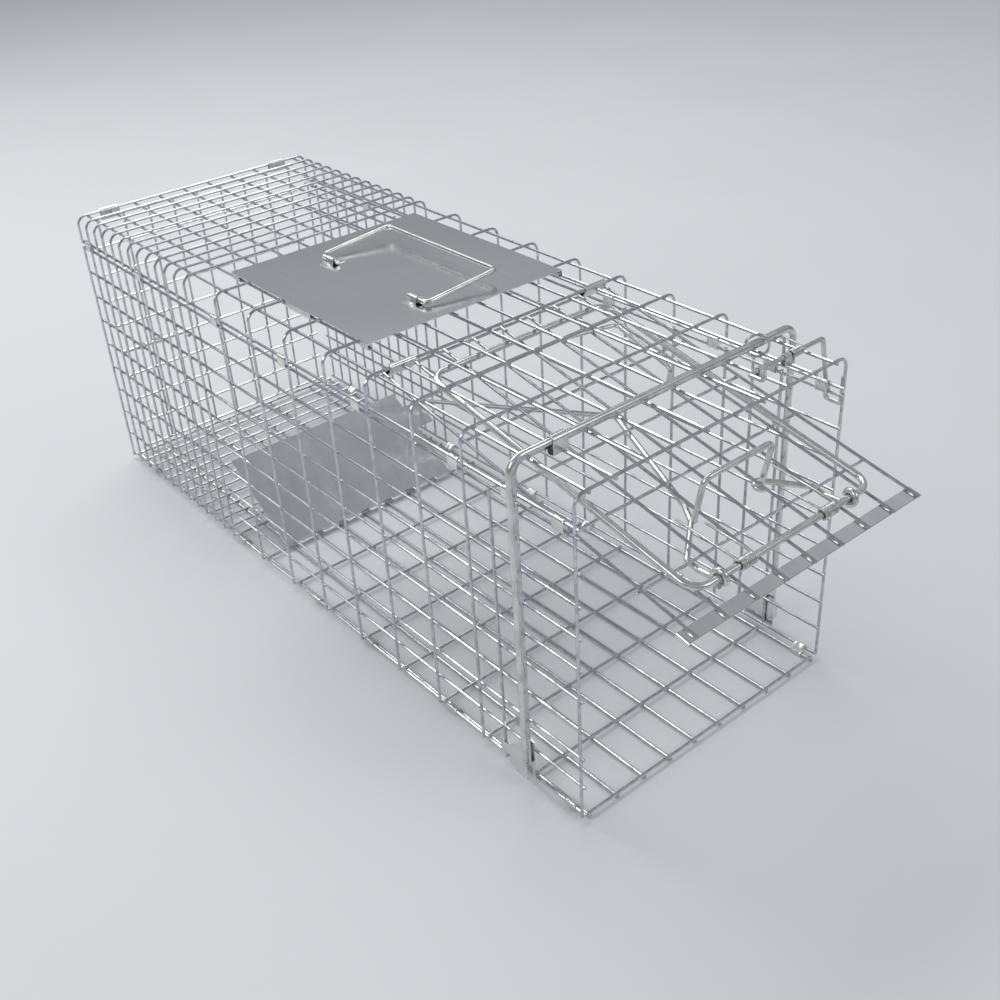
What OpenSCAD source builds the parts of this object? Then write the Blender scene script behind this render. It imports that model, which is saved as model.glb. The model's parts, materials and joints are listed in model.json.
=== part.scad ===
// A folding live catch trap in welded wire mesh, standing set: the door is raised and propped by a trip rod
// whose tail rests on the treadle. X runs across the cage, the door end faces -Y, and Z is up.

/* [Cage] */
// Width between the floor's edge rails
cage_w = 228.6; // [210:1:250]
// Length from the mouth to the rear
cage_l = 660.4; // [640:1:680]
// Height to the top of the roof
cage_h = 254; // [250:1:270]
// Diameter of the mesh wire
mesh_d = 2.2; // [2:0.1:2.4]
// Spacing of the lengthwise wires
cell = 25.4; // [24:0.1:26]

/* [Door] */
// Length of the door from its hinge wire
door_len = 291; // [280:1:295]
// Slope of the raised door below level
door_slope = 12; // [10:0.5:14]
// Diameter of the door's stiffening loop
loop_d = 4.8; // [4:0.1:5]
// Width of the loop between its wire centres
loop_w = 162; // [156:1:164]

/* [Trip] */
// Diameter of the trip rod and levers
rod_d = 4; // [3.5:0.1:4.2]
// Slope of the raised treadle
treadle_slope = 32.5; // [30:0.5:34]
// Length of the treadle plate
treadle_len = 99; // [90:1:102]

/* [Stay and handle] */
// Diameter of the brace stay
stay_d = 5; // [4:0.1:5]
// Length of the handle's grip
grip_l = 139; // [120:1:145]

/* [Hidden] */

inch = 25.4;
round_n = 24;       // facets round a thick wire
mesh_n = 12;        // sides of a mesh wire, which is a fine prism
flat = 180 / mesh_n;  // turn that lays the mesh wires' flats on each other
bore_n = 32;        // facets round a bore
oval_n = 8;         // sides round each end of a sleeve
mesh_r = mesh_d / 2;
weld = 1.9;         // distance between the two layers of a welded mesh
over = 1.5;         // length of a wire's end past the last wire it crosses
fit = 0.1;          // radial clearance of a sleeve on its wire
sheet = 0.8;        // thickness of sheet metal
press = 0.15;       // how far the lower ferrules are pressed flat underneath
rod_r = rod_d / 2;
loop_r = loop_d / 2;
stay_r = stay_d / 2;
galvanised = "lightgray";
bright = "gainsboro";
shade = "silver";

// The door's free edge and the rear rails are equally far from the origin
door_reach = 77;
rear_out = 3;
mouth_y = (door_reach - cage_l - rear_out) / 2;
rear_y = mouth_y + cage_l;
half_w = cage_w / 2;

// Rows of crosswise wires, measured from the mouth: wide to the guard plate's end, then close to the rear
wide_rows = [for (i = [0 : 9]) 2 * inch * i];
close_rows = [for (i = [1 : 12]) 18 * inch + 8 * inch / 12 * i];
rows = concat(wide_rows, close_rows);

// Floor
floor_long_z = mesh_r + fit + sheet - press;
floor_cross_z = floor_long_z + weld;

// Sides: level wires inside, upright wires outside
side_x = half_w + 4.5;
side_upright_x = side_x + weld;
side_low_z = floor_long_z + 3.7;
side_top_z = 224;
side_n = 9;
side_pitch = (side_top_z - side_low_z) / side_n;

// Roof: crosswise wires on top, bent down at both sides
roof_cross_z = cage_h - mesh_r;
roof_long_z = roof_cross_z - weld;
roof_rail_z = side_top_z + 5.8;
roof_bend = 8;
roof_longs = concat([-half_w + 4.5], [for (i = [0 : 7]) (i - 3.5) * cell], [half_w - 4.5]);

// Door hinge wire
hinge_y = mouth_y + 208.3;
hinge_z = roof_cross_z - 6.4;
hinge_roof_y = mouth_y + 8 * inch;
door_rows = [34, 85.4, 136.8, 188.2, 246];
door_half = 4 * cell;
bar_s = 267.5;      // distance of the loop's front bar from the hinge, along the door
bar_h = weld + mesh_r + loop_r;
loop_rear_s = 23.4;

// Trip levers
eye_x = 57.9;
eye_ring = loop_r + fit + rod_r;
lever_h = -(mesh_r + rod_r + 0.4);
elbow_s = bar_s - 48;
bridge_x = 31;
bridge_h = 32;

// Treadle
treadle_y = mouth_y + 16 * inch;
treadle_z = floor_cross_z;
treadle_x0 = -96;
treadle_x1 = 85;
tab_x1 = 104;
tab_y0 = 56;
tab_y1 = 82;

// Rear panel
rear_hinge_z = roof_cross_z - 6.4;
rear_half = 106;
rear_rows_n = 10;
rear_low_z = 9;
bolt_r = 1.5;
bolt_travel = 20;
bolt_z = side_low_z + 4.5 * side_pitch;
bolt_y = rear_y - mesh_r - bolt_r - 0.4;

// Stay
stay_y = mouth_y + 1.9 * inch;
stay_z = cage_h + 1.3 + stay_r;
stay_x = side_upright_x + mesh_r + 2.3 + stay_r;
clip_long = (3.5) * cell;

// Set lever
set_r = 1.6;
set_y = mouth_y + 24;
set_z = roof_cross_z + mesh_r + fit + set_r;

// Handle
handle_r = 2;
handle_x = -24;
handle_y = mouth_y + 331.5;
handle_z = cage_h + sheet + 1 + handle_r;
handle_reach = 67;

function unit(v) = v / norm(v);

// Closed outline round two parallel wires that are gap apart
function oval(gap, r) = concat(
    [for (i = [0 : oval_n]) r * [cos(180 + 180 * i / oval_n), sin(180 + 180 * i / oval_n)]],
    [for (i = [0 : oval_n]) [r * cos(180 * i / oval_n), gap + r * sin(180 * i / oval_n)]]);

// Straight wire from a to b
module rod(a, b, r, n = round_n) {
    v = b - a;
    translate(a) rotate([0, acos(v.z / norm(v)), atan2(v.y, v.x)]) rotate([0, 0, n == mesh_n ? flat : 0])
        cylinder(h = norm(v), r = r, $fn = n);
}

// Lengthwise mesh wire through the cage
module long_wire(x, z) {
    rod([x, mouth_y - over, z], [x, rear_y + over, z], mesh_r, mesh_n);
}

// Arc that rounds the corner at b between a and c
module corner(a, b, c, bend, r) {
    u = unit(a - b);
    w = unit(c - b);
    turn = 180 - acos(u * w);
    centre = b + unit(u + w) * bend / cos(turn / 2);
    x = unit(b + u * bend * tan(turn / 2) - centre);
    e = unit(b + w * bend * tan(turn / 2) - centre);
    z = unit(cross(x, e));
    y = cross(z, x);
    multmatrix([[x.x, y.x, z.x, centre.x], [x.y, y.y, z.y, centre.y], [x.z, y.z, z.z, centre.z], [0, 0, 0, 1]])
        rotate_extrude(angle = turn, $fn = 48) translate([bend, 0]) circle(r = r, $fn = round_n);
}

// Wire through a list of points, with the same bend radius at each corner. Its straight stretches run a little
// way, lap, into the bends, which are a hair thicker, swell.
module wire(p, bend, r, lap = 0.2, swell = 1.015) {
    n = len(p) - 1;
    cut = [for (i = [0 : n]) i == 0 || i == n ? 0
        : bend * tan((180 - acos(unit(p[i - 1] - p[i]) * unit(p[i + 1] - p[i]))) / 2) - lap];
    for (i = [0 : n - 1]) {
        d = unit(p[i + 1] - p[i]);
        rod(p[i] + d * cut[i], p[i + 1] - d * cut[i + 1], r);
    }
    for (i = [1 : n - 1]) corner(p[i - 1], p[i], p[i + 1], bend, r * swell);
}

// Ring of wire round the X axis
module ring_x(big, r) {
    rotate([0, 90, 0]) rotate_extrude($fn = 48) translate([big, 0]) circle(r = r, $fn = round_n);
}

// Close coil along +X
module coil_x(turns, big, r) {
    for (i = [0 : turns - 1]) translate([(2 * i + 1) * r * 0.95, 0, 0]) ring_x(big, r);
}

// Sheet sleeve round two parallel wires, centred on the first, along local Z
module sleeve(gap, width, inner) {
    linear_extrude(height = width, center = true) difference() {
        polygon(oval(gap, inner + sheet));
        polygon(oval(gap, inner));
    }
}

// Ferrule along Y round a rail at [x0, z0] and another at [x1, z1]
module ferrule(x0, z0, x1, z1, width) {
    gap = norm([x1 - x0, z1 - z0]);
    translate([x0, 0, z0]) rotate([0, -atan2(z1 - z0, x1 - x0), 0]) rotate([90, 0, 0]) rotate([0, 0, -90])
        sleeve(gap, width, mesh_r + fit);
}

// Clip along X round a wire at [y0, z0] and another at [y1, z1]
module clip_along_x(y0, z0, y1, z1, width, inner) {
    gap = norm([y1 - y0, z1 - z0]);
    translate([0, y0, z0]) rotate([atan2(z1 - z0, y1 - y0), 0, 0]) rotate([0, -90, 0])
        sleeve(gap, width, inner);
}

module on_door() {
    translate([0, hinge_y, hinge_z]) rotate([door_slope, 0, 0]) children();
}

module on_bar() {
    on_door() translate([0, -bar_s, bar_h]) children();
}

module floor_panel() {
    x = half_w + over;
    color(galvanised) union() {
        for (y = rows)
            rod([-x, mouth_y + y, floor_cross_z], [x, mouth_y + y, floor_cross_z], mesh_r, mesh_n);
        for (i = [0 : 9]) long_wire(-half_w + i * cage_w / 9, floor_long_z);
    }
}

module side_panel() {
    x = side_upright_x;
    for (y = concat(rows, [3 * inch]))
        rod([x, mouth_y + y, side_low_z - over], [x, mouth_y + y, side_top_z + over], mesh_r, mesh_n);
    for (i = [0 : side_n]) long_wire(side_x, side_low_z + i * side_pitch);
}

module right_side_panel() {
    color(galvanised) side_panel();
}

module left_side_panel() {
    color(galvanised) mirror([1, 0, 0]) side_panel();
}

module roof_panel() {
    x = side_upright_x;
    z = roof_cross_z;
    low = roof_rail_z - over;
    color(galvanised) union() {
        for (y = rows) translate([0, mouth_y + y, 0]) wire([[-x, 0, low], [-x, 0, z], [x, 0, z], [x, 0, low]],
            roof_bend, mesh_r, 0, 1);
        for (x = roof_longs) long_wire(x, roof_long_z);
        for (x = [-side_x, side_x]) long_wire(x, roof_rail_z);
    }
}

module rear_panel() {
    x = rear_half + over;
    pitch = (rear_hinge_z - rear_low_z) / (rear_rows_n - 1);
    color(galvanised) union() {
        rod([-x, rear_y, rear_hinge_z], [x, rear_y, rear_hinge_z], mesh_r);
        for (i = [0 : rear_rows_n - 2]) translate([0, rear_y, rear_low_z + i * pitch])
            rod([-x, 0, 0], [x, 0, 0], mesh_r, mesh_n);
        for (i = [-4 : 4]) translate([i * cell, rear_y + weld, 0])
            rod([0, 0, rear_low_z - over], [0, 0, rear_hinge_z + 0.3], mesh_r, mesh_n);
    }
}

upper_ferrule_y = [0.6, 2.35, 4.4, 8.65, 12.4, 16.4, 21.67, 25.67];
ferrule_w = 10;
lower_ferrule_y = [0.5, 5.5, 9.7, 12.7, 17.5, 24.33];

module upper_ferrules() {
    for (y = upper_ferrule_y) translate([0, mouth_y + y * inch, 0])
        ferrule(side_x, side_top_z, side_x, roof_rail_z, ferrule_w);
}

// Pressed flat underneath, where the cage stands
module lower_ferrules() {
    for (y = lower_ferrule_y) translate([0, mouth_y + y * inch, 0]) intersection() {
        ferrule(half_w, floor_long_z, side_x, side_low_z, ferrule_w);
        translate([half_w - 5, -ferrule_w, 0]) cube([14, 2 * ferrule_w, 14]);
    }
}

module upper_right_ferrules() {
    color(bright) upper_ferrules();
}

module upper_left_ferrules() {
    color(bright) mirror([1, 0, 0]) upper_ferrules();
}

module lower_right_ferrules() {
    color(bright) lower_ferrules();
}

module lower_left_ferrules() {
    color(bright) mirror([1, 0, 0]) lower_ferrules();
}

// Room in a clip for the lengthwise roof wire at x
module wire_notch(x, y) {
    translate([x, y, roof_long_z]) rotate([90, 0, 0])
        cylinder(h = 40, r = mesh_r + fit, center = true, $fn = bore_n);
}

module door_hinge_clips() {
    color(shade) for (x = [-clip_long, clip_long]) difference() {
        translate([x, 0, 0]) clip_along_x(hinge_y, hinge_z, hinge_roof_y, roof_cross_z, 21, mesh_r + fit);
        wire_notch(x, hinge_y);
    }
}

module rear_hinge_clips() {
    color(shade) for (x = [-clip_long, clip_long]) difference() {
        translate([x, 0, 0]) clip_along_x(rear_y, rear_hinge_z, rear_y, roof_cross_z, 18, mesh_r + fit);
        wire_notch(x, rear_y);
    }
}

guard_y0 = mouth_y + 9.5 * inch;
guard_l = 7.5 * inch;
guard_half = clip_long + mesh_r + fit + sheet;
guard_barrels = [[9.7, 10], [13.1, 34], [16.7, 10]];  // each barrel's place in inches and width

// Sheet rolled round a mesh wire along local Z
module barrel(width) {
    linear_extrude(height = width, center = true) difference() {
        circle(r = mesh_r + fit + sheet, $fn = bore_n);
        circle(r = mesh_r + fit, $fn = bore_n);
    }
}

// Flat sheet on the roof, with barrels rolled round a roof wire at each side
module guard_plate() {
    color("whitesmoke") union() {
        translate([-guard_half, guard_y0, cage_h]) cube([2 * guard_half, guard_l, sheet]);
        for (s = [-1, 1]) for (b = guard_barrels) translate([s * clip_long, mouth_y + b.x * inch, roof_long_z]) {
            rotate([90, 0, 0]) barrel(b.y);
            translate([s * (mesh_r + fit + sheet / 2) - sheet / 2, -b.y / 2, 0])
                cube([sheet, b.y, cage_h - roof_long_z + sheet / 2]);
        }
    }
}

// Two bridges of strip over the handle's ends, spot welded to the guard plate
module handle_saddles() {
    inner = handle_r + fit;
    rise = handle_z - cage_h - sheet;
    color(bright) for (s = [-1, 1]) translate([handle_x, handle_y + s * (grip_l / 2 - 14), cage_h + sheet]) {
        difference() {
            union() {
                translate([0, 0, rise]) rotate([90, 0, 0])
                    cylinder(h = 10, r = inner + sheet, center = true, $fn = bore_n);
                translate([-9, -5, 0]) cube([18, 10, sheet]);
                translate([-inner - sheet, -5, 0]) cube([2 * (inner + sheet), 10, rise]);
            }
            translate([0, 0, rise]) rotate([90, 0, 0])
                cylinder(h = 12, r = inner, center = true, $fn = bore_n);
            translate([-inner, -6, sheet]) cube([2 * inner, 12, rise - sheet]);
        }
    }
}

module carry_handle() {
    a = grip_l / 2;
    b = a - 22;
    reach = handle_reach;
    color(bright) translate([handle_x, handle_y, handle_z])
        wire([[0, -b, 0], [0, -a, 0], [reach, -a, 6], [reach, a, 6], [0, a, 0], [0, b, 0]], 5, handle_r);
}

// Sheet catch that stands on the side panel's lower edge, with a folded tab in front of the stay's leg
module foot_plate() {
    x = side_upright_x + mesh_r + 0.3;
    color(bright) union() {
        difference() {
            translate([x, stay_y - 5, side_low_z - 1]) cube([sheet, 36, 37]);
            translate([x - 1, stay_y + 32, side_low_z + 38]) rotate([0, 90, 0])
                cylinder(h = 3, r = 24, $fn = 64);
            translate([x - 1, stay_y + 22, side_low_z - 2]) cube([3, 12, 8]);
        }
        translate([x, stay_y - stay_r - 0.4 - sheet, side_low_z + 4]) cube([2 * stay_r + 2, sheet, 14]);
    }
}

module right_foot_plate() {
    foot_plate();
}

module left_foot_plate() {
    mirror([1, 0, 0]) foot_plate();
}

module brace_stay() {
    low = side_low_z + 6;
    color(bright) translate([0, stay_y, 0])
        wire([[-stay_x, 0, low], [-stay_x, 0, stay_z], [stay_x, 0, stay_z], [stay_x, 0, low]], 11, stay_r);
}

module stay_clip() {
    color(shade) difference() {
        translate([-clip_long, 0, 0]) clip_along_x(stay_y, roof_long_z, stay_y, stay_z, 12, stay_r + fit);
        wire_notch(-clip_long, stay_y);
        translate([-clip_long, mouth_y + 2 * inch, roof_cross_z]) rotate([0, 90, 0])
            cylinder(h = 20, r = mesh_r + fit, center = true, $fn = bore_n);
    }
}

// Wire ring round the stay's bar and a roof wire where they cross
module stay_ring() {
    color(bright) translate([clip_long, stay_y, (stay_z + roof_long_z) / 2 + 0.6]) rotate([0, 0, 45])
        ring_x(8, 1);
}

// Shaft across the roof's front corner, bent down past the right side panel into a U-shaped side hook
module set_lever() {
    x = stay_x;
    color(bright) translate([0, set_y, set_z]) union() {
        wire([[56, 0, 0], [x, 0, 0], [x, -6, -34], [x, -6, -42], [x, -19, -42], [x, -19, -22]], 3, set_r);
        wire([[56, 0, 0], [52, 0, 0], [52, -12, 0], [52, -12, 8]], 1.9, set_r);
    }
}

module set_lever_spring() {
    r = 0.6;
    turns = 9;
    big = set_r + 0.25 + r;
    end = (2 * turns - 1) * r * 0.95;
    color(bright) translate([93, set_y, set_z]) union() {
        coil_x(turns, big, r);
        rod([r, big, 0], [r, big + 1.2, -5], r);
        rod([end, 0, big], [end, 15, big + 1.5], r);
    }
}

// Strip loops that hold the lever's shaft down to two lengthwise roof wires
module set_lever_clips() {
    color(shade) for (x = [2.5 * cell, 3.5 * cell]) difference() {
        translate([x, 0, 0]) clip_along_x(set_y, roof_long_z, set_y, set_z, 6, set_r + fit);
        wire_notch(x, set_y);
    }
}

module door_panel() {
    x = door_half + 2 * over;
    color(galvanised) on_door() union() {
        rod([-x, 0, 0], [x, 0, 0], mesh_r);
        for (s = door_rows) rod([-x, -s, 0], [x, -s, 0], mesh_r, mesh_n);
        for (i = [-4 : 4]) rod([i * cell, over, weld], [i * cell, -door_len, weld], mesh_r, mesh_n);
    }
}

// Flat strip welded under the free ends, its left end curled
module door_edge_strip() {
    top = weld - mesh_r;
    color(bright) on_door() union() {
        translate([-door_half - 4, -door_len + 1, top - 1]) cube([2 * door_half + 8, 10, 1]);
        translate([-door_half - 4, -door_len + 6, top - 2.5]) rotate([90, 0, 0]) rotate([0, 0, 90])
            rotate_extrude(angle = 150, $fn = 48) translate([2, -5]) square([1, 10]);
    }
}

module door_loop() {
    x = loop_w / 2;
    a = -loop_rear_s;
    b = -bar_s;
    color(bright) on_door() translate([0, 0, bar_h])
        wire([[0, a, 0], [x, a, 0], [x, b, 0], [-x, b, 0], [-x, a, 0], [0, a, 0]], 12, loop_r);
}

// Cranked wire on the door's upper face, its tail turned down through the mesh
module lift_hook() {
    r = 1.5;
    h = weld + mesh_r + r;
    color(bright) on_door() translate([0, 0, h])
        wire([[24, -39, 0], [70, -47, 0], [64, -108, 0], [64, -108, -14], [58, -108, -14]], 4, r);
}

// Torsion spring on the loop's front bar, with both arms lying on the door mesh
module trip_spring() {
    r = 0.8;
    big = loop_r + 0.25 + r;
    start = 31.4;
    turns = 9;
    end = start + (2 * turns - 1) * r * 0.95;
    arm = -bar_h + weld + mesh_r + r + 0.1;
    translate([start, 0, 0]) coil_x(turns, big, r);
    rod([start + r, 0, big], [start + r, 38, arm], r);
    rod([end, 0, big], [end, 50, arm], r);
}

module right_trip_spring() {
    color(bright) on_bar() trip_spring();
}

module left_trip_spring() {
    color(bright) on_bar() mirror([1, 0, 0]) trip_spring();
}

// Points of a lever from its eye to its elbow, in the frame of the loop's front bar
h0 = lever_h - bar_h;
lever_path = [[eye_x, 0, -eye_ring], [eye_x, 16, h0], [eye_x, 26, h0], [bridge_x, bar_s - elbow_s, h0]];

module lever_eye() {
    translate([eye_x, 0, 0]) ring_x(eye_ring, rod_r * 1.03);
    rod([eye_x, -eye_ring * cos(40), -eye_ring * sin(40)], [eye_x + 1, -9, -eye_ring], rod_r);
}

module right_trip_lever() {
    color(bright) on_bar() union() {
        lever_eye();
        wire(concat(lever_path, [[bridge_x - 8, bar_s - elbow_s + 8, h0]]), 4, rod_r);
    }
}

// One wire: the left eye, the lever, and the long tail, whose tip catches on the edge of the treadle's tab
tip_x = 98;
tip_s = 68 / cos(treadle_slope);
tip_y = treadle_y + tip_s * cos(treadle_slope);
tip_h = mesh_r + fit + sheet + rod_r + 0.6;
tip_z = treadle_z + tip_s * sin(treadle_slope) + tip_h / cos(treadle_slope);
bend_y = mouth_y + 92.7;
bend_s = (hinge_y - bend_y) / cos(door_slope);

module trip_rod() {
    d = [tip_x, tip_y, tip_z] - [0, hinge_y, hinge_z];
    u = [0, cos(door_slope), sin(door_slope)];
    v = [0, -sin(door_slope), cos(door_slope)];
    near = [for (p = lever_path) [-p.x, p.y, p.z]];
    tail = [[-24, bar_s - elbow_s + 12, h0], [2.5, bar_s - bend_s, h0], [d.x, d * u + bar_s, d * v - bar_h]];
    color(bright) on_bar() union() {
        mirror([1, 0, 0]) lever_eye();
        wire(concat(near, tail), 4, rod_r);
    }
}

// U-shaped wire that stands on both levers and rises through the door mesh
module trip_bridge() {
    y = bar_s - elbow_s - 2;
    low = h0 + rod_r;
    top = bridge_h - bar_h;
    color(bright) on_bar() translate([0, y, 0])
        wire([[-bridge_x, 0, low], [-bridge_x, 0, top], [bridge_x, 0, top], [bridge_x, 0, low]], 6, rod_r);
}

module treadle_plate() {
    inner = mesh_r + fit;
    color("whitesmoke") translate([0, treadle_y, treadle_z]) rotate([treadle_slope, 0, 0]) union() {
        translate([treadle_x0, 0, inner]) cube([treadle_x1 - treadle_x0, treadle_len, sheet]);
        translate([treadle_x1 - 1, tab_y0, inner]) cube([tab_x1 - treadle_x1 + 1, tab_y1 - tab_y0, sheet]);
        for (i = [-3 : 3]) translate([i * cell, 0, 0]) rotate([0, 90, 0]) barrel(16);
    }
}

// Bolt on the rear panel's inner face, drawn back: it slides out through the left side's mesh
module rear_latch_bolt() {
    x = bolt_travel - stay_x - stay_r;
    color(bright) translate([0, bolt_y, bolt_z])
        wire([[x, 0, 0], [x + 65, 0, 0], [x + 65, -12, 0]], 3, bolt_r);
}

module rear_latch_keepers() {
    inner = bolt_r + fit;
    color(shade) for (x = [-3.5 * cell, -3 * cell + 4]) translate([x, 0, 0]) difference() {
        clip_along_x(bolt_y, bolt_z, rear_y + weld, bolt_z, 7, inner);
        translate([-5, rear_y - 0.1, bolt_z - 5]) cube([10, 10, 10]);
    }
}

floor_panel();
left_side_panel();
right_side_panel();
roof_panel();
rear_panel();
upper_left_ferrules();
upper_right_ferrules();
lower_left_ferrules();
lower_right_ferrules();
door_hinge_clips();
rear_hinge_clips();
guard_plate();
handle_saddles();
carry_handle();
left_foot_plate();
right_foot_plate();
brace_stay();
stay_clip();
stay_ring();
set_lever();
set_lever_spring();
set_lever_clips();
door_panel();
door_edge_strip();
door_loop();
lift_hook();
left_trip_spring();
right_trip_spring();
trip_rod();
right_trip_lever();
trip_bridge();
treadle_plate();
rear_latch_bolt();
rear_latch_keepers();
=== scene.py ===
import json
import math
import random

import bmesh
import bpy
from mathutils import Matrix, Vector


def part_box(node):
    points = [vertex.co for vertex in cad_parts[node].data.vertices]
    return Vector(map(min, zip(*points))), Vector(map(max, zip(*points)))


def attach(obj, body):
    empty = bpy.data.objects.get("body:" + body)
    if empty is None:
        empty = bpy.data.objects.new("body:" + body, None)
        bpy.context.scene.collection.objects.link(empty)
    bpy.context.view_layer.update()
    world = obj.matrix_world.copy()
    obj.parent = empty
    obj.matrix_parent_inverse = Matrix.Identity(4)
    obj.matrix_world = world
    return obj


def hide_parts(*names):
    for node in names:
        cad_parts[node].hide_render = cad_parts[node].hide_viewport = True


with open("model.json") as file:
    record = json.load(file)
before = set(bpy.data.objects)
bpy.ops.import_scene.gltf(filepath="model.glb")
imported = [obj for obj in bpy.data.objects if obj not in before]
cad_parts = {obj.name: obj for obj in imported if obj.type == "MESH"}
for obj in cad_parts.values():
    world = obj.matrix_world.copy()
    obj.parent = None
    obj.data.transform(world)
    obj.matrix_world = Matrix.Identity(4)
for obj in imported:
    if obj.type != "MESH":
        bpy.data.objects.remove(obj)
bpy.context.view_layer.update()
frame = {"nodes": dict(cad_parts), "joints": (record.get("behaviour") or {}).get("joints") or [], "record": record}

# Sizes are in millimetres, as in the CAD source, and Shape.build() turns them into metres. Only
# the camera and the studio are in metres.
MM = 0.001
INCH = 25.4
random.seed(7)


# ---------------------------------------------------------------- camera
CAMERA_PLACE = (-0.503, -0.718, 0.617)
AZIMUTH, ELEVATION, ROLL = 37.96, -32.13, -3.64
LENS = 44.5
SENSOR = 36
SHIFT_Y = -0.008


def add_camera():
    """The reference view: from the front left, looking 32 degrees down, with a slight roll."""
    azimuth, elevation, roll = (math.radians(angle) for angle in (AZIMUTH, ELEVATION, ROLL))
    ahead = Vector((math.sin(azimuth) * math.cos(elevation),
                    math.cos(azimuth) * math.cos(elevation), math.sin(elevation)))
    level = Vector((math.cos(azimuth), -math.sin(azimuth), 0))
    up = level.cross(ahead)
    right = math.cos(roll) * level + math.sin(roll) * up
    true_up = -math.sin(roll) * level + math.cos(roll) * up
    data = bpy.data.cameras.new("camera")
    data.lens = LENS
    data.sensor_width = SENSOR
    data.shift_y = SHIFT_Y
    data.clip_end = 30
    camera = bpy.data.objects.new("camera", data)
    bpy.context.scene.collection.objects.link(camera)
    turn = Matrix((right, true_up, -ahead)).transposed().to_4x4()
    camera.matrix_world = Matrix.Translation(CAMERA_PLACE) @ turn
    bpy.context.scene.camera = camera


# ---------------------------------------------------------------- materials
def new_material(name):
    material = bpy.data.materials.new(name)
    material.use_nodes = True
    tree = material.node_tree
    tree.nodes.clear()
    out = tree.nodes.new("ShaderNodeOutputMaterial")
    shader = tree.nodes.new("ShaderNodeBsdfPrincipled")
    tree.links.new(shader.outputs["BSDF"], out.inputs["Surface"])
    return material, tree, shader


def texture(tree, kind, scale, stretch=(1, 1, 1), **inputs):
    """A procedural texture in object space."""
    place = tree.nodes.new("ShaderNodeTexCoord")
    mapping = tree.nodes.new("ShaderNodeMapping")
    mapping.inputs["Scale"].default_value = stretch
    node = tree.nodes.new(kind)
    tree.links.new(place.outputs["Object"], mapping.inputs["Vector"])
    tree.links.new(mapping.outputs["Vector"], node.inputs["Vector"])
    node.inputs["Scale"].default_value = scale
    for key, value in inputs.items():
        node.inputs[key].default_value = value
    return node


def ramp(tree, source, stops):
    node = tree.nodes.new("ShaderNodeValToRGB")
    elements = node.color_ramp.elements
    while len(elements) < len(stops):
        elements.new(0.5)
    for element, (place, colour) in zip(elements, stops):
        element.position = place
        element.color = (*colour, 1)
    tree.links.new(source, node.inputs["Fac"])
    return node.outputs["Color"]


def spread(tree, source, low, high):
    """Maps the middle of a texture's range to low..high."""
    node = tree.nodes.new("ShaderNodeMapRange")
    node.inputs["From Min"].default_value = 0.3
    node.inputs["From Max"].default_value = 0.7
    node.inputs["To Min"].default_value = low
    node.inputs["To Max"].default_value = high
    tree.links.new(source, node.inputs["Value"])
    return node.outputs["Result"]


def bump(tree, source, distance, strength, under=None):
    node = tree.nodes.new("ShaderNodeBump")
    node.inputs["Distance"].default_value = distance
    node.inputs["Strength"].default_value = strength
    tree.links.new(source, node.inputs["Height"])
    if under is not None:
        tree.links.new(under, node.inputs["Normal"])
    return node.outputs["Normal"]


def zinc_wire(name, dark, light, rough, grain):
    """Zinc-plated wire: cloudy plating, with small dull patches and fine pitting."""
    material, tree, shader = new_material(name)
    cloud = texture(tree, "ShaderNodeTexNoise", grain, Detail=4, Roughness=0.6)
    pits = texture(tree, "ShaderNodeTexNoise", grain * 7, Detail=2)
    value = cloud.outputs["Fac"]
    smoothest, roughest = rough
    tree.links.new(ramp(tree, value, [(0.35, dark), (0.62, light)]), shader.inputs["Base Color"])
    tree.links.new(spread(tree, value, roughest, smoothest), shader.inputs["Roughness"])
    tree.links.new(bump(tree, pits.outputs["Fac"], 0.0001, 0.15), shader.inputs["Normal"])
    shader.inputs["Metallic"].default_value = 1.0
    return material


def zinc_sheet(name, dark, light, rough, streak, wave):
    """Galvanised sheet: faint rolling streaks along Y, soft blotches and a little waviness."""
    material, tree, shader = new_material(name)
    lines = texture(tree, "ShaderNodeTexNoise", 30, stretch=(streak, 0.6, streak), Detail=3)
    blotch = texture(tree, "ShaderNodeTexNoise", 22, Detail=3, Roughness=0.6)
    waves = texture(tree, "ShaderNodeTexNoise", 11, Detail=1)
    blend = tree.nodes.new("ShaderNodeMix")
    blend.data_type = "FLOAT"
    blend.inputs["Factor"].default_value = 0.5
    tree.links.new(blotch.outputs["Fac"], blend.inputs["A"])
    tree.links.new(lines.outputs["Fac"], blend.inputs["B"])
    value = blend.outputs["Result"]
    smoothest, roughest = rough
    tree.links.new(ramp(tree, value, [(0.35, dark), (0.65, light)]), shader.inputs["Base Color"])
    tree.links.new(spread(tree, value, roughest, smoothest), shader.inputs["Roughness"])
    fine = bump(tree, lines.outputs["Fac"], 0.00006, 0.2)
    tree.links.new(bump(tree, waves.outputs["Fac"], wave, 0.15, under=fine),
                   shader.inputs["Normal"])
    shader.inputs["Metallic"].default_value = 1.0
    return material


def floor_material():
    material, tree, shader = new_material("pale_floor")
    grain = texture(tree, "ShaderNodeTexNoise", 3, Detail=6)
    stops = [(0.3, (0.80, 0.81, 0.82)), (0.7, (0.83, 0.84, 0.85))]
    tree.links.new(ramp(tree, grain.outputs["Fac"], stops), shader.inputs["Base Color"])
    shader.inputs["Roughness"].default_value = 0.65
    return material


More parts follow.
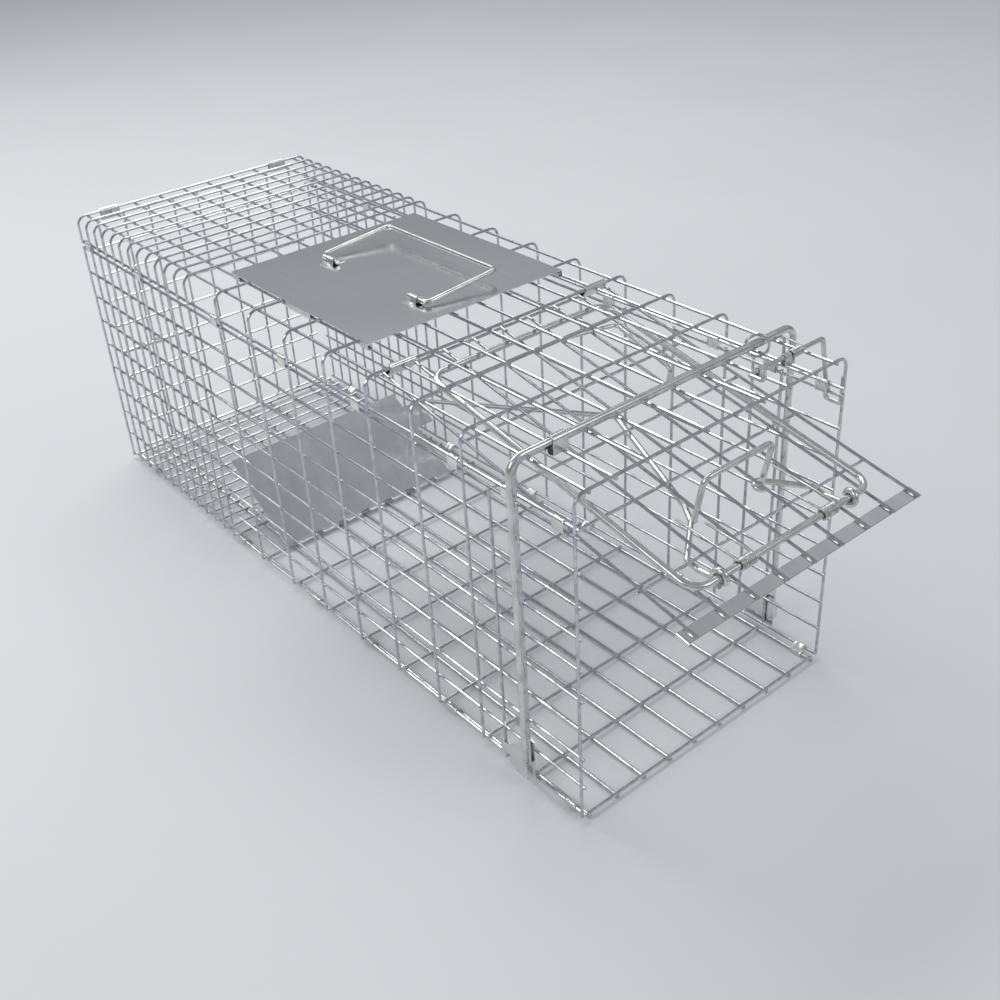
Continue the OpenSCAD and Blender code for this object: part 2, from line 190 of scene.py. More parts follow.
MATERIALS = {
    "mesh_wire": zinc_wire("mesh_wire", dark=(0.46, 0.48, 0.51), light=(0.68, 0.70, 0.73),
                           rough=(0.17, 0.27), grain=200),
    "rod_wire": zinc_wire("rod_wire", dark=(0.58, 0.58, 0.58), light=(0.76, 0.76, 0.75),
                          rough=(0.20, 0.29), grain=120),
    "spring_wire": zinc_wire("spring_wire", dark=(0.46, 0.46, 0.45), light=(0.76, 0.76, 0.74),
                             rough=(0.22, 0.38), grain=400),
    "sheet_bright": zinc_sheet("sheet_bright", dark=(0.72, 0.73, 0.74), light=(0.83, 0.84, 0.85),
                               rough=(0.10, 0.22), streak=6, wave=0.003),
    "sheet_clip": zinc_sheet("sheet_clip", dark=(0.58, 0.58, 0.57), light=(0.86, 0.86, 0.85),
                             rough=(0.18, 0.36), streak=4, wave=0.001),
}


# ---------------------------------------------------------------- shapes
def rounded(points, bend, steps=6):
    """A path through points with each corner turned into an arc."""
    path = [Vector(points[0])]
    for before, here, after in zip(points, points[1:], points[2:]):
        here = Vector(here)
        u = (Vector(before) - here).normalized()
        w = (Vector(after) - here).normalized()
        turn = math.pi - u.angle(w)
        if turn < 0.01:
            path.append(here)
            continue
        centre = here + (u + w).normalized() * bend / math.cos(turn / 2)
        start = here + u * bend * math.tan(turn / 2) - centre
        axis = start.cross(here + w * bend * math.tan(turn / 2) - centre).normalized()
        for i in range(steps + 1):
            path.append(centre + Matrix.Rotation(turn * i / steps, 3, axis) @ start)
    path.append(Vector(points[-1]))
    return path


class Shape:
    """Vertices and faces of one visible piece, in millimetres."""

    def __init__(self, place=None):
        self.verts = []
        self.faces = []
        self.place = place or Matrix.Identity(4)

    def add(self, points):
        first = len(self.verts)
        self.verts.extend(self.place @ Vector(p) for p in points)
        return first

    def loft(self, rings, closed=False):
        """Skin over rings of equal length, capped at both ends unless closed."""
        n = len(rings[0])
        starts = [self.add(ring) for ring in rings]
        pairs = list(zip(starts, starts[1:]))
        if closed:
            pairs.append((starts[-1], starts[0]))
        for a, b in pairs:
            for i in range(n):
                j = (i + 1) % n
                self.faces.append((a + i, a + j, b + j, b + i))
        if not closed:
            self.faces.append(tuple(starts[0] + i for i in reversed(range(n))))
            self.faces.append(tuple(starts[-1] + i for i in range(n)))

    def tube(self, path, radius, sides=8, closed=False, chamfer=0.3):
        """Round wire along a path, with slightly broken ends."""
        path = [Vector(p) for p in path]
        count = len(path)
        tangents = []
        for i in range(count):
            a = path[i - 1] if i or closed else path[0]
            b = path[(i + 1) % count] if i < count - 1 or closed else path[-1]
            tangents.append((b - a).normalized())
        normal = tangents[0].orthogonal().normalized()
        angles = [2 * math.pi * k / sides for k in range(sides)]
        rings = []
        for i, (point, tangent) in enumerate(zip(path, tangents)):
            normal = (normal - tangent * normal.dot(tangent)).normalized()
            side = tangent.cross(normal)
            ring = [normal * math.cos(a) + side * math.sin(a) for a in angles]
            if not closed and i == 0:
                rings.append([point + v * (radius - chamfer) for v in ring])
                point = point + tangent * chamfer
            if not closed and i == count - 1:
                rings.append([point - tangent * chamfer + v * radius for v in ring])
                rings.append([point + v * (radius - chamfer) for v in ring])
                continue
            rings.append([point + v * radius for v in ring])
        self.loft(rings, closed)

    def blob(self, centre, size):
        """Small weld nugget: centre and its three half sizes."""
        rings = []
        for level in (-0.85, -0.35, 0.35, 0.85):
            r = math.sqrt(1 - level * level)
            rings.append([(centre[0] + size[0] * r * math.cos(math.pi * k / 3),
                           centre[1] + size[1] * r * math.sin(math.pi * k / 3),
                           centre[2] + size[2] * level) for k in range(6)])
        self.loft(rings)

    def ribbon(self, path, width, thick):
        """Strip of sheet along a path. width is a vector across it, and its edges are broken."""
        path = [Vector(p) for p in path]
        along = Vector(width).normalized()
        half = Vector(width) / 2
        soft = along * min(0.25, thick / 3)
        rings = []
        for i, point in enumerate(path):
            tangent = (path[min(i + 1, len(path) - 1)] - path[max(i - 1, 0)]).normalized()
            out = along.cross(tangent).normalized() * thick / 2
            rings.append([point - half + out * 0.4, point - half + soft + out,
                          point + half - soft + out, point + half + out * 0.4,
                          point + half - out * 0.4, point + half - soft - out,
                          point - half + soft - out, point - half - out * 0.4])
        self.loft(rings)

    def sheet(self, low, high, z, thick, wave=0.0, cells=(28, 24)):
        """Flat sheet between two corners, with a slight wave in it."""
        across, along = cells
        row = across + 1
        count = row * (along + 1)
        first = len(self.verts)
        for level in (0, thick):
            for k in range(along + 1):
                for i in range(across + 1):
                    u, v = i / across, k / along
                    ripple = math.sin(7.1 * u + 2.3 * v) * math.cos(5.3 * v - 1.9 * u)
                    x = low[0] + (high[0] - low[0]) * i / across
                    y = low[1] + (high[1] - low[1]) * k / along
                    self.add([(x, y, z + level + wave * (1 + ripple) / 2)])
        for k in range(along):
            for i in range(across):
                a = first + k * row + i
                b = a + count
                self.faces.append((a, a + row, a + row + 1, a + 1))
                self.faces.append((b, b + 1, b + row + 1, b + row))
        rim = ([i for i in range(row)] + [k * row + across for k in range(1, along + 1)]
               + [along * row + i for i in range(across - 1, -1, -1)]
               + [k * row for k in range(along - 1, 0, -1)])
        for a, b in zip(rim, rim[1:] + rim[:1]):
            self.faces.append((first + a, first + b, first + b + count, first + a + count))

    def build(self, name, body, slot, node, smooth_angle=35):
        """Makes the piece, which rides on body and replaces the CAD node."""
        mesh = bpy.data.meshes.new(name)
        mesh.from_pydata([tuple(v * MM) for v in self.verts], [], self.faces)
        mesh.validate()
        piece = bpy.data.objects.new(name, mesh)
        bpy.context.scene.collection.objects.link(piece)
        mesh.materials.append(MATERIALS[slot])
        turn_outwards(mesh)
        shade(mesh, smooth_angle)
        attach(piece, body)
        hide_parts(node)


def turn_outwards(mesh):
    bm = bmesh.new()
    bm.from_mesh(mesh)
    bmesh.ops.recalc_face_normals(bm, faces=bm.faces)
    bm.to_mesh(mesh)
    bm.free()


def shade(mesh, angle):
    """Smooth shading that keeps edges sharper than angle, in degrees."""
    mesh.shade_smooth()
    mesh.set_sharp_from_angle(angle=math.radians(angle))


# ---------------------------------------------------------------- sizes and places
def box_mm(node):
    low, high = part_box(node)
    return low / MM, high / MM


PIVOT = {j["name"]: Vector(j["pos_m"]) / MM for j in frame["joints"] if j.get("pos_m")}

# wire and sheet
MESH_R = 1.1       # radius of a mesh wire
WELD = 1.9         # height between two crossing wires, which the weld sinks into each other
OVER = 1.5         # how far a mesh wire runs past the last wire that it crosses
FIT = 0.1          # radial clearance of a sleeve on its wire
SHEET = 0.8        # thickness of sheet metal
ROD_R = 2.0
LOOP_R = 2.4
STAY_R = 2.5
SET_R = 1.6
SMALL_R = 1.5      # radius of the lift hook and the latch bolt

# cage, from the frame
floor_low, floor_high = box_mm("floor_panel")
roof_low, roof_high = box_mm("roof_panel")
side_low, side_high = box_mm("right_side_panel")
MOUTH = floor_low.y + OVER
REAR = floor_high.y - OVER
HALF_W = floor_high.x - OVER
CAGE_H = roof_high.z
FLOOR_LONG = floor_high.z - MESH_R - WELD
SIDE_UPRIGHT = roof_high.x - MESH_R
SIDE_X = SIDE_UPRIGHT - WELD
SIDE_LOW = side_low.z + OVER
SIDE_TOP = side_high.z - OVER
ROOF_Z = CAGE_H - MESH_R
ROOF_RAIL = roof_low.z + OVER
ROOF_BEND = 8
ROOF_LONGS = [-HALF_W + 4.5] + [(i - 3.5) * INCH for i in range(8)] + [HALF_W - 4.5]
ROWS = [2 * INCH * i for i in range(10)] + [18 * INCH + 8 * INCH / 12 * i for i in range(1, 13)]
CLIP_X = 3.5 * INCH      # the roof wires that the clips and the guard's tabs hold

# door, in its own plane: s runs from the hinge to the free edge, and h out of the plane
DOOR_SLOPE = math.radians(12)
DOOR_LEN = 291
DOOR_ROWS = [0, 34, 85.4, 136.8, 188.2, 246]
DOOR_WIRES = [i * INCH for i in range(-4, 5)]
BAR_S = 267.5            # the loop's front bar, which the trip levers turn on
BAR_H = WELD + MESH_R + LOOP_R
LOOP_X = 81
LOOP_REAR = 23.4
ON_DOOR = Matrix.Translation(PIVOT["door_swing"]) @ Matrix.Rotation(DOOR_SLOPE, 4, "X")
ON_BAR = ON_DOOR @ Matrix.Translation((0, -BAR_S, BAR_H))

# treadle
TREADLE_SLOPE = math.radians(32.5)
TREADLE_LEN = 99
TREADLE_SIDES = (-96, 85)
TAB_LOW, TAB_HIGH = (84, 56), (104, 82)

# trip levers, seen from the loop's front bar
EYE_X = 57.9
EYE_R = LOOP_R + FIT + ROD_R
LEVER_H = -(MESH_R + ROD_R + 0.4) - BAR_H
LEVER = [(EYE_X, 0, -EYE_R), (EYE_X, 16, LEVER_H), (EYE_X, 26, LEVER_H)]
ELBOW_Y = 48
BRIDGE_X = 31
BRIDGE_Y = ELBOW_Y - 2
BRIDGE_TOP = 32
ROD_BEND = 92.7          # how far behind the mouth the trip rod turns down to the treadle
TIP_X = 98
TIP_REACH = 68           # how far behind the treadle's wire the rod's tip stands
TIP_GAP = 0.6

# handle
GRIP = 139
REACH = 67


# ---------------------------------------------------------------- welded mesh
LONG_STEPS = 26          # bends in a wire that runs the cage's length, one for each inch
CROSS_STEPS = 9
NUGGET_FLAT = (1.6, 1.6, 0.8)
NUGGET_SIDE = (0.8, 1.6, 1.6)
NUGGET_END = (1.6, 0.8, 1.6)


def wobble(amount=0.12):
    return random.uniform(-amount, amount)


def wavy(start, end, steps):
    """A nearly straight wire, drawn a little out of line as welded wire is."""
    start, end = Vector(start), Vector(end)
    points = [start.lerp(end, i / steps) for i in range(steps + 1)]
    return [p + Vector((wobble(), wobble(), wobble())) if 0 < i < steps else p
            for i, p in enumerate(points)]


def lengthwise(shape, x, z):
    """A wire from the mouth to the rear."""
    shape.tube(wavy((x, MOUTH - OVER, z), (x, REAR + OVER, z), LONG_STEPS), MESH_R)


def floor_mesh():
    shape = Shape()
    low = FLOOR_LONG
    high = low + WELD
    end = HALF_W + OVER
    longs = [-HALF_W + 2 * HALF_W * i / 9 for i in range(10)]
    for x in longs:
        lengthwise(shape, x, low)
    for y in ROWS:
        shape.tube(wavy((-end, MOUTH + y, high), (end, MOUTH + y, high), CROSS_STEPS), MESH_R)
        for x in longs:
            shape.blob((x, MOUTH + y, (low + high) / 2), NUGGET_FLAT)
    shape.build("floor_mesh", "cage", "mesh_wire", "floor_panel")


def side_mesh(side, sign):
    shape = Shape()
    low, high = SIDE_LOW - OVER, SIDE_TOP + OVER
    levels = [SIDE_LOW + (SIDE_TOP - SIDE_LOW) * i / 9 for i in range(10)]
    for z in levels:
        lengthwise(shape, sign * SIDE_X, z)
    for y in ROWS + [3 * INCH]:
        x = sign * SIDE_UPRIGHT
        shape.tube(wavy((x, MOUTH + y, low), (x, MOUTH + y, high), CROSS_STEPS), MESH_R)
        for z in levels:
            shape.blob((sign * (SIDE_X + WELD / 2), MOUTH + y, z), NUGGET_SIDE)
    shape.build(f"{side}_side_mesh", "cage", "mesh_wire", f"{side}_side_panel")


def roof_mesh():
    shape = Shape()
    low = ROOF_RAIL - OVER
    for y in ROWS:
        corners = [(-SIDE_UPRIGHT, MOUTH + y, low), (-SIDE_UPRIGHT, MOUTH + y, ROOF_Z),
                   (SIDE_UPRIGHT, MOUTH + y, ROOF_Z), (SIDE_UPRIGHT, MOUTH + y, low)]
        shape.tube(rounded(corners, ROOF_BEND, 7), MESH_R)
        for x in ROOF_LONGS:
            shape.blob((x, MOUTH + y, ROOF_Z - WELD / 2), NUGGET_FLAT)
        for sign in (-1, 1):
            shape.blob((sign * (SIDE_X + WELD / 2), MOUTH + y, ROOF_RAIL), NUGGET_SIDE)
    for x in ROOF_LONGS:
        lengthwise(shape, x, ROOF_Z - WELD)
    for x in (-SIDE_X, SIDE_X):
        lengthwise(shape, x, ROOF_RAIL)
    shape.build("roof_mesh", "cage", "mesh_wire", "roof_panel")


def rear_mesh():
    """Rear panel. Its top wire turns in the clips, so it is straight."""
    shape = Shape()
    low, high = box_mm("rear_panel")
    top = PIVOT["rear_door_swing"].z
    bottom = low.z + OVER
    levels = [bottom + (top - bottom) * i / 9 for i in range(10)]
    for z in levels:
        ends = [(-high.x, REAR, z), (high.x, REAR, z)]
        shape.tube(ends if z == levels[-1] else wavy(*ends, CROSS_STEPS), MESH_R)
    for x in DOOR_WIRES:
        ends = [(x, REAR + WELD, bottom - OVER), (x, REAR + WELD, top)]
        shape.tube(wavy(*ends, CROSS_STEPS), MESH_R)
        for z in levels:
            shape.blob((x, REAR + WELD / 2, z), NUGGET_END)
    shape.build("rear_mesh", "rear_door", "mesh_wire", "rear_panel")


def door_mesh():
    """Drop door. Its first wire turns in the clips, so it is straight."""
    shape = Shape(ON_DOOR)
    reach = 4 * INCH + 2 * OVER
    for x in DOOR_WIRES:
        shape.tube(wavy((x, OVER, WELD), (x, -DOOR_LEN, WELD), 12), MESH_R)
    for s in DOOR_ROWS:
        ends = [(-reach, -s, 0), (reach, -s, 0)]
        shape.tube(ends if s == 0 else wavy(*ends, 8), MESH_R)
        for x in DOOR_WIRES:
            shape.blob((x, -s, WELD / 2), NUGGET_FLAT)
    shape.build("door_mesh", "door", "mesh_wire", "door_panel")


# ---------------------------------------------------------------- crimped sheet
# A crimped sleeve's outline: distance from its middle, and how wide it is there.
WAIST = [(-5.0, 0.90), (-4.6, 1.0), (-2.4, 0.98), (-0.9, 0.88),
         (0.9, 0.88), (2.4, 0.98), (4.6, 1.0), (5.0, 0.90)]
# Where the sleeves stand on the upper and the lower rails, in inches behind the mouth.
UPPER = [0.6, 2.35, 4.4, 8.65, 12.4, 16.4, 21.67, 25.67]
LOWER = [0.5, 5.5, 9.7, 12.7, 17.5, 24.33]


def oval(a, b, radius, steps=8):
    """Points round two parallel wires at a and b, in the plane that they cross at right angles."""
    a, b = Vector(a), Vector(b)
    angle = math.atan2(b[1] - a[1], b[0] - a[0])
    points = []
    for centre, start in ((b, angle - math.pi / 2), (a, angle + math.pi / 2)):
        for i in range(steps + 1):
            turn = start + math.pi * i / steps
            points.append((centre[0] + radius * math.cos(turn),
                           centre[1] + radius * math.sin(turn)))
    return points


def ferrules(name, node, sign, places, rail_a, rail_b):
    """Crimped sleeves round two rails that run along Y, with a pinched waist."""
    shape = Shape()
    for y in places:
        skew = wobble(0.4)
        rings = []
        for along, scale in WAIST:
            ring = oval(rail_a, rail_b, (MESH_R + FIT + SHEET) * scale)
            rings.append([(sign * p[0], MOUTH + y * INCH + along + skew, p[1]) for p in ring])
        shape.loft(rings)
    shape.build(name, "cage", "sheet_clip", node, smooth_angle=50)


def all_ferrules():
    for side, sign in (("left", -1), ("right", 1)):
        ferrules(f"{side}_top_ferrules", f"upper_{side}_ferrules", sign, UPPER,
                 (SIDE_X, SIDE_TOP), (SIDE_X, ROOF_RAIL))
        ferrules(f"{side}_foot_ferrules", f"lower_{side}_ferrules", sign, LOWER,
                 (HALF_W, FLOOR_LONG), (SIDE_X, SIDE_LOW))


def straps(name, node, places, width, a, b, wire_r, lapped=False):
    """Strips wrapped round two wires that run along X. A lapped one's tail lies on its start."""
    inner = wire_r + FIT
    path = oval(a, b, inner + SHEET / 2, 10)
    path.append(path[0])
    if lapped:
        path += oval(a, b, inner + SHEET * 1.5, 10)[1:3]
    shape = Shape()
    for x in places:
        shape.ribbon([Vector((x, y, z)) for y, z in path], (width, 0, 0), SHEET)
    shape.build(name, "cage", "sheet_clip", node)


def clips():
    """The straps that hold the hinge wires, the stay and the set lever to the roof's wires."""
    door, rear, stay_bar, lever = (PIVOT[joint] for joint in (
        "door_swing", "rear_door_swing", "stay_swing", "set_lever_swing"))
    roof_long = ROOF_Z - WELD
    straps("door_clips", "door_hinge_clips", (-CLIP_X, CLIP_X), 21,
           (door.y, door.z), (MOUTH + 8 * INCH, ROOF_Z), MESH_R, lapped=True)
    straps("rear_clips", "rear_hinge_clips", (-CLIP_X, CLIP_X), 18,
           (rear.y, rear.z), (REAR, ROOF_Z), MESH_R, lapped=True)
    straps("stay_strap", "stay_clip", (-CLIP_X,), 12,
           (stay_bar.y, roof_long), (stay_bar.y, stay_bar.z), STAY_R)
    straps("set_lever_straps", "set_lever_clips", (2.5 * INCH, CLIP_X), 6,
           (lever.y, roof_long), (lever.y, lever.z), SET_R)


# ---------------------------------------------------------------- plates
GUARD_TABS = [(9.7, 10), (13.1, 34), (16.7, 10)]     # each tab's place in inches and width


def barrel(shape, centre, length, along, start, sweep, stem):
    """Sheet from stem that curls round a mesh wire along X or Y; start and sweep in degrees."""
    radius = MESH_R + FIT + SHEET / 2
    along = Vector(along)
    u = Vector((1, 0, 0)) if along.y else Vector((0, 1, 0))
    path = [Vector(stem)]
    for i in range(19):
        a = math.radians(start + sweep * i / 18)
        path.append(Vector(centre) + radius * (u * math.cos(a) + Vector((0, 0, 1)) * math.sin(a)))
    shape.ribbon(path, along * length, SHEET)


def guard():
    """Guard plate: it lies on the roof and curls round a lengthwise wire at both sides."""
    low, high = box_mm("guard_plate")
    shape = Shape()
    shape.sheet((low.x + 0.6, low.y), (high.x - 0.6, high.y), CAGE_H, SHEET, wave=0.35)
    for sign in (-1, 1):
        start, sweep = (0, -285) if sign > 0 else (180, 285)
        for y, length in GUARD_TABS:
            centre = (sign * CLIP_X, MOUTH + y * INCH, ROOF_Z - WELD)
            edge = (sign * (CLIP_X + MESH_R + FIT + SHEET / 2), centre[1], CAGE_H + SHEET * 0.7)
            barrel(shape, centre, length, (0, 1, 0), start, sweep, edge)
    shape.build("guard_sheet", "cage", "sheet_bright", "guard_plate", smooth_angle=40)


def saddles():
    """Two strips that arch over the handle's ends, each with a foot on both sides."""
    pivot = PIVOT["handle_swing"]
    foot = CAGE_H + SHEET * 1.5
    foot_end, foot_start, arch_r = 9, 3.4, 2.5
    shape = Shape()
    for sign in (-1, 1):
        y = pivot.y + sign * (GRIP / 2 - 14)
        path = [(pivot.x - foot_end, y, foot), (pivot.x - foot_start, y, foot)]
        for i in range(11):
            a = math.radians(180 - 18 * i)
            path.append((pivot.x + arch_r * math.cos(a), y, pivot.z + arch_r * math.sin(a)))
        path += [(pivot.x + foot_start, y, foot), (pivot.x + foot_end, y, foot)]
        shape.ribbon(path, (0, 10, 0), SHEET)
    shape.build("saddles", "cage", "sheet_clip", "handle_saddles", smooth_angle=40)


def treadle():
    """Treadle plate: hemmed sides, a tab for the trip rod and barrels round a floor wire."""
    left, right = TREADLE_SIDES
    inner = MESH_R + FIT
    hem = 1.6
    shape = Shape(Matrix.Translation(PIVOT["treadle_tilt"])
                  @ Matrix.Rotation(TREADLE_SLOPE, 4, "X"))
    shape.sheet((left, 1.5), (right, TREADLE_LEN), inner, SHEET, wave=0.25, cells=(24, 14))
    shape.sheet(TAB_LOW, TAB_HIGH, inner, SHEET, cells=(4, 4))
    for i in range(-3, 4):
        stem = (i * INCH, 3, inner + SHEET / 2)
        barrel(shape, (i * INCH, 0, 0), 16, (1, 0, 0), 90, 285, stem)
    for x in (left + hem / 2, right - hem / 2):
        shape.ribbon([(x, 4, inner - 0.4), (x, TREADLE_LEN - 1, inner - 0.4)], (hem, 0, 0), SHEET)
    shape.build("treadle_sheet", "treadle", "sheet_bright", "treadle_plate", smooth_angle=40)


# ---------------------------------------------------------------- handle, stay and set lever
def carry_bow():
    outer = GRIP / 2
    inner = outer - 22
    lift = 6
    points = [(0, -inner, 0), (0, -outer, 0), (REACH, -outer, lift),
              (REACH, outer, lift), (0, outer, 0), (0, inner, 0)]
    shape = Shape(Matrix.Translation(PIVOT["handle_swing"]))
    shape.tube(rounded(points, 5, 10), ROD_R, 16)
    shape.build("handle_bow", "handle", "rod_wire", "carry_handle")


def stay():
    """The U-shaped stay, and the ring that holds its bar to a roof wire."""
    low, high = box_mm("brace_stay")
    y = PIVOT["stay_swing"].y
    x, top = high.x - STAY_R, high.z - STAY_R
    shape = Shape()
    legs = [(-x, y, low.z), (-x, y, top), (x, y, top), (x, y, low.z)]
    shape.tube(rounded(legs, 11, 12), STAY_R, 18, chamfer=0.6)
    shape.build("stay_rod", "stay", "rod_wire", "brace_stay")
    ring_r, ring_wire_r, ends_apart = 8, 1.0, 0.9
    middle = (CLIP_X, y, (top + ROOF_Z - WELD) / 2 + 0.6)
    shape = Shape(Matrix.Translation(middle) @ Matrix.Rotation(math.radians(45), 4, "Z"))
    angles = [math.radians(14 + 346 * i / 40) for i in range(41)]
    ring = [(ends_apart * math.sin(a / 2), ring_r * math.cos(a), ring_r * math.sin(a))
            for a in angles]
    shape.tube(ring, ring_wire_r, 10)
    shape.build("stay_eye", "cage", "rod_wire", "stay_ring")


def set_lever():
    """The lever's shaft, cranked at its inner end and hooked at its outer end."""
    pivot = PIVOT["set_lever_swing"]
    stay_x = box_mm("brace_stay")[1].x - STAY_R
    shape = Shape(Matrix.Translation((0, pivot.y, pivot.z)))
    hook = [(52, -12, 8), (52, -12, 0), (52, 0, 0), (stay_x, 0, 0), (stay_x, -6, -34),
            (stay_x, -6, -42), (stay_x, -19, -42), (stay_x, -19, -22)]
    shape.tube(rounded(hook, 2.4, 8), SET_R, 12)
    shape.build("set_lever_rod", "set_lever", "rod_wire", "set_lever")


def set_lever_coil():
    pivot = PIVOT["set_lever_swing"]
    wire, turns = 0.6, 8.25
    radius = SET_R + 0.35 + wire
    pitch = 2 * wire * 1.04
    end = wire + pitch * turns
    path = [Vector((wire, -radius, -5))]
    for i in range(int(turns * 20) + 1):
        a = math.radians(180 - 18 * i)
        path.append(Vector((wire + pitch * i / 20, radius * math.cos(a), radius * math.sin(a))))
    path += [Vector((end, 3, radius + 0.4)), Vector((end, 15, radius + 1.5))]
    shape = Shape(Matrix.Translation((93, pivot.y, pivot.z)))
    shape.tube(path, wire, 8, chamfer=0.15)
    shape.build("set_lever_coil", "cage", "spring_wire", "set_lever_spring", smooth_angle=60)


# ---------------------------------------------------------------- trip levers
def eye(sign, turn=400, steps=40):
    """Wire wound a little over one turn round the loop's bar, ending underneath it."""
    pitch = 4.1
    path = []
    for i in range(steps):
        left = 1 - i / steps
        a = math.radians(-90 - turn * left)
        path.append(Vector((sign * (EYE_X + pitch * turn * left / 360),
                            EYE_R * math.cos(a), EYE_R * math.sin(a))))
    return path


def trip_rod():
    """One wire from the left eye, past the bridge and down to the treadle's tab."""
    treadle_wire = PIVOT["treadle_tilt"]
    above = (MESH_R + FIT + SHEET + ROD_R + TIP_GAP) / math.cos(TREADLE_SLOPE)
    tip = Vector((TIP_X, treadle_wire.y + TIP_REACH,
                  treadle_wire.z + TIP_REACH * math.tan(TREADLE_SLOPE) + above))
    bend = (PIVOT["door_swing"].y - MOUTH - ROD_BEND) / math.cos(DOOR_SLOPE)
    points = [(-x, y, z) for x, y, z in LEVER]
    points += [(-BRIDGE_X, ELBOW_Y, LEVER_H), (-24, ELBOW_Y + 12, LEVER_H),
               (2.5, BAR_S - bend, LEVER_H), ON_BAR.inverted() @ tip]
    shape = Shape(ON_BAR)
    shape.tube(eye(-1) + rounded(points, 4, 6), ROD_R, 14)
    shape.build("trip_rod_wire", "trip", "rod_wire", "trip_rod")


def right_lever():
    """The right lever, whose end is hooked round the bridge."""
    centre = Vector((BRIDGE_X, BRIDGE_Y, LEVER_H))
    angles = [math.radians(46 + 12 * i) for i in range(19)]
    hook = [centre + 4.2 * Vector((math.cos(a), math.sin(a), 0)) for a in angles]
    shape = Shape(ON_BAR)
    shape.tube(eye(1) + rounded(LEVER + [hook[0]], 4, 6) + hook[1:], ROD_R, 14)
    shape.build("right_lever_wire", "trip", "rod_wire", "right_trip_lever")


def bridge():
    """The U-shaped bridge, welded to the trip rod at its left leg."""
    top = BRIDGE_TOP - BAR_H
    legs = [(-BRIDGE_X, BRIDGE_Y, LEVER_H + 1), (-BRIDGE_X, BRIDGE_Y, top),
            (BRIDGE_X, BRIDGE_Y, top), (BRIDGE_X, BRIDGE_Y, LEVER_H - 4)]
    shape = Shape(ON_BAR)
    shape.tube(rounded(legs, 6, 8), ROD_R, 14)
    shape.blob((-BRIDGE_X, BRIDGE_Y, LEVER_H + ROD_R), (2.9, 2.6, 1.3))
    shape.build("bridge_wire", "trip", "rod_wire", "trip_bridge")


# ---------------------------------------------------------------- door furniture and latch
def loop_wire():
    shape = Shape(ON_DOOR)
    corners = [(0, -LOOP_REAR, BAR_H), (LOOP_X, -LOOP_REAR, BAR_H), (LOOP_X, -BAR_S, BAR_H),
               (-LOOP_X, -BAR_S, BAR_H), (-LOOP_X, -LOOP_REAR, BAR_H), (0, -LOOP_REAR, BAR_H)]
    shape.tube(rounded(corners, 12, 10)[:-1], LOOP_R, 14, closed=True)
    for s in DOOR_ROWS[1:-1]:
        for sign in (-1, 1):
            shape.blob((sign * LOOP_X, -s, BAR_H - LOOP_R), (2.2, 1.8, 1.2))
    shape.build("loop_wire", "door", "rod_wire", "door_loop")


def trip_springs():
    """Two coils on the loop's front bar, each with a straight arm at both ends."""
    wire, radius, start, turns, steps = 0.8, LOOP_R + 1.05, 31.8, 8, 20
    pitch = 2 * wire * 0.98
    end = start + pitch * turns
    rest = -BAR_H + WELD + MESH_R + wire + 0.1
    path = [Vector((start, 38, rest))]
    for i in range(turns * steps + 1):
        a = 2 * math.pi * i / steps
        path.append(Vector((start + pitch * i / steps, -radius * math.sin(a),
                            radius * math.cos(a))))
    path += [Vector((end, 2.0, radius)), Vector((end, 50, rest))]
    for side, sign in (("left", -1), ("right", 1)):
        shape = Shape(ON_BAR @ Matrix.Diagonal((sign, 1, 1, 1)))
        shape.tube(path, wire, 8, chamfer=0.2)
        shape.build(f"{side}_spring_coil", "door", "spring_wire", f"{side}_trip_spring",
                    smooth_angle=60)


def edge_strip():
    """Flat strip under the wires' free ends, curled at its left end."""
    shape = Shape(ON_DOOR)
    top = WELD - MESH_R
    half = 4 * INCH + 4
    y = -DOOR_LEN + 6
    curl_r = 2
    path = []
    for degrees in range(150, -1, -15):
        a = math.radians(degrees)
        path.append((-half - curl_r * math.sin(a), y, top - 2.5 + curl_r * math.cos(a)))
    path.append((half, y, top - 0.5))
    shape.ribbon(path, (0, 10, 0), 1.0)
    for x in DOOR_WIRES:
        shape.blob((x, y, top), (1.7, 3.8, 0.5))
    shape.build("edge_strip", "door", "sheet_bright", "door_edge_strip")


def lift_hook():
    shape = Shape(ON_DOOR @ Matrix.Translation((0, 0, WELD + MESH_R + SMALL_R)))
    crank = [(24, -39, 0), (70, -47, 0), (64, -108, 0), (64, -108, -14), (58, -108, -14)]
    shape.tube(rounded(crank, 4, 8), SMALL_R, 12)
    shape.build("lift_hook_wire", "door", "rod_wire", "lift_hook")


def latch_bolt():
    low, high = box_mm("rear_latch_bolt")
    x, y, z = high.x - SMALL_R, high.y - SMALL_R, (low.z + high.z) / 2
    shape = Shape()
    shape.tube(rounded([(low.x, y, z), (x, y, z), (x, low.y, z)], 3, 8), SMALL_R, 12)
    shape.build("latch_wire", "latch", "rod_wire", "rear_latch_bolt")


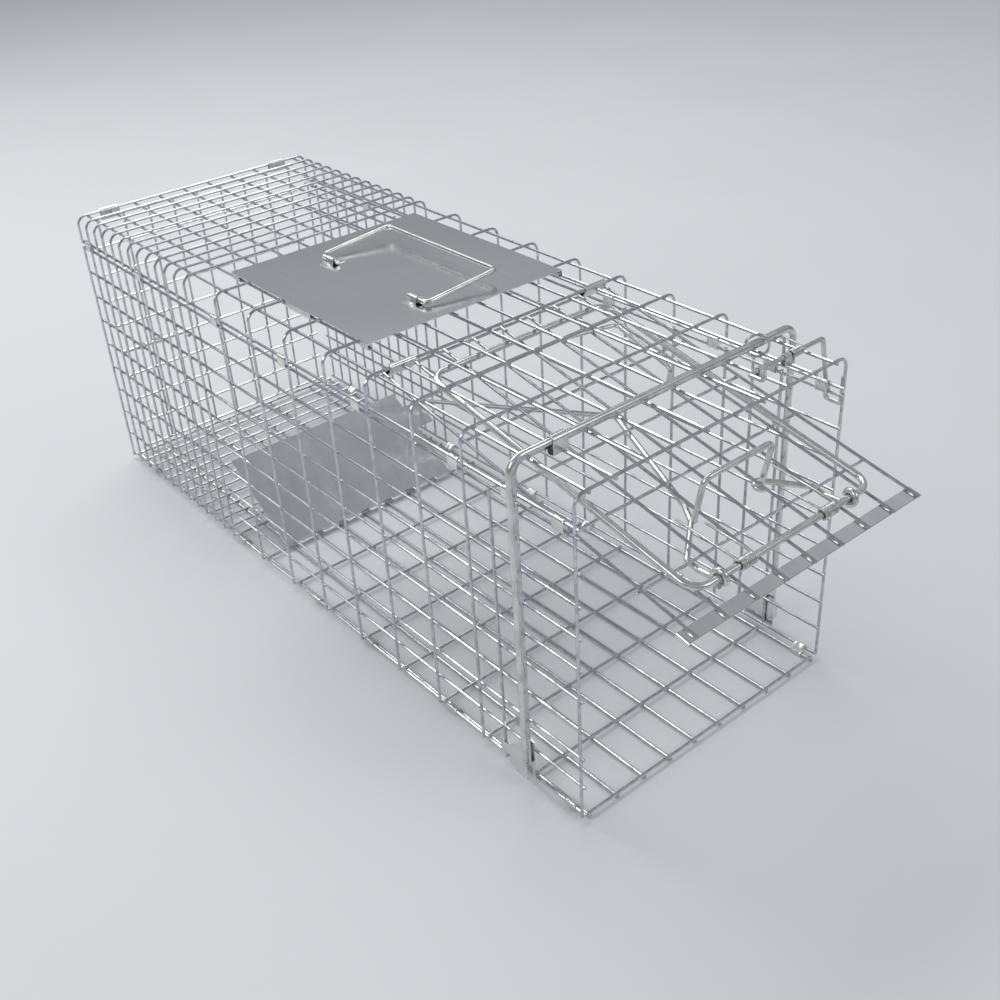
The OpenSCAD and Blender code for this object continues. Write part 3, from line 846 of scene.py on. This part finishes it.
# ---------------------------------------------------------------- finish
LAMPS = [    # name, place, size and watts
    ("key", (0.2, 1.2, 2.1), (2.2, 0.7), 22),
    ("back", (-0.6, 2.4, 1.4), (0.8, 0.8), 7),
    ("side", (-1.7, -0.1, 1.3), (0.8, 0.8), 6),
    ("front", (0.9, -1.9, 1.5), (0.8, 0.8), 5),
]
SKY = [      # height, from straight down to straight up, and colour
    (0.0, (0.20, 0.21, 0.23)),
    (0.3, (0.28, 0.29, 0.31)),
    (0.55, (0.50, 0.52, 0.55)),
    (1.0, (0.28, 0.29, 0.31)),
]


def finish_cad_nodes():
    """Every CAD node gets its finished material, for the few that no piece replaces."""
    slots = {s["node"]: s["material_slot"] for s in frame["record"]["subparts"]}
    for name, node in frame["nodes"].items():
        node.data.materials.clear()
        node.data.materials.append(MATERIALS[slots[name]])
        shade(node.data, 35)


def studio_floor():
    bpy.ops.mesh.primitive_plane_add(size=60)
    floor = bpy.context.object
    floor.name = "studio_floor"
    floor.data.materials.append(floor_material())


def sky():
    world = bpy.data.worlds.new("studio")
    bpy.context.scene.world = world
    world.use_nodes = True
    tree = world.node_tree
    background = tree.nodes["Background"]
    place = tree.nodes.new("ShaderNodeTexCoord")
    split = tree.nodes.new("ShaderNodeSeparateXYZ")
    tree.links.new(place.outputs["Generated"], split.inputs["Vector"])
    tree.links.new(ramp(tree, split.outputs["Z"], SKY), background.inputs["Color"])
    background.inputs["Strength"].default_value = 1.0
    bpy.context.scene.view_settings.view_transform = "Standard"


def lamps():
    target = Vector((0, 0, 0.1))
    for name, place, size, power in LAMPS:
        data = bpy.data.lights.new(name, "AREA")
        data.shape = "RECTANGLE"
        data.size, data.size_y = size
        data.energy = power
        lamp = bpy.data.objects.new(name, data)
        lamp.location = place
        lamp.rotation_euler = (target - Vector(place)).to_track_quat("-Z", "Y").to_euler()
        bpy.context.scene.collection.objects.link(lamp)


add_camera()
finish_cad_nodes()
# The first six and the ferrules draw random numbers, so their order fixes their shapes.
floor_mesh()
side_mesh("left", -1)
side_mesh("right", 1)
roof_mesh()
rear_mesh()
door_mesh()
all_ferrules()
clips()
loop_wire()
trip_springs()
edge_strip()
guard()
saddles()
treadle()
carry_bow()
stay()
set_lever()
set_lever_coil()
trip_rod()
right_lever()
bridge()
lift_hook()
latch_bolt()
studio_floor()
sky()
lamps()
